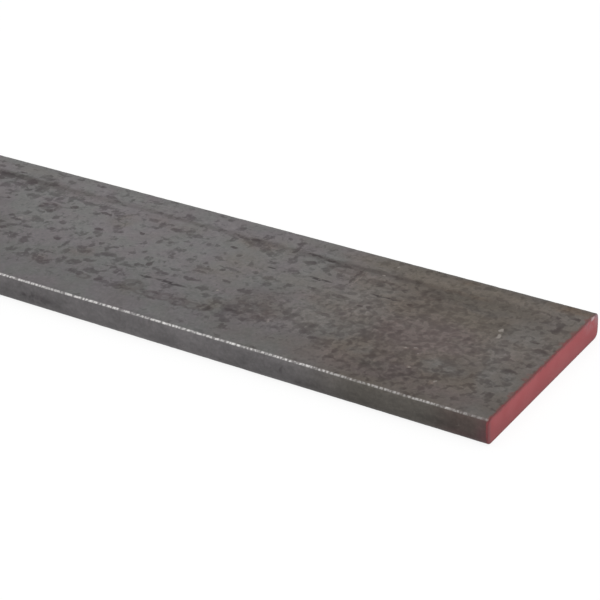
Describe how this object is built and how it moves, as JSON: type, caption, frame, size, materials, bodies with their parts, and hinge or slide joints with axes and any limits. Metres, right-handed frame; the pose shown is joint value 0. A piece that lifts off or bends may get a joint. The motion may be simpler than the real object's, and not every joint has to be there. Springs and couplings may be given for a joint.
{
  "type": "steel flat bar",
  "caption": "Hot-rolled steel flat bar with flat wide faces, softly rounded corners, slightly crowned narrow edges and square cut ends, for framing, brackets and braces.",
  "frame": {"origin": "middle of the underside, on the surface that the bar lies on", "axes": "+X along the length towards the painted end, +Y across the width, +Z through the thickness, upwards"},
  "size_m": [0.9144, 0.0508, 0.0063],
  "materials": {
    "steel": "matte"
  },
  "bodies": {
    "root": {"flat_bar": "steel"}
  },
  "joints": []
}
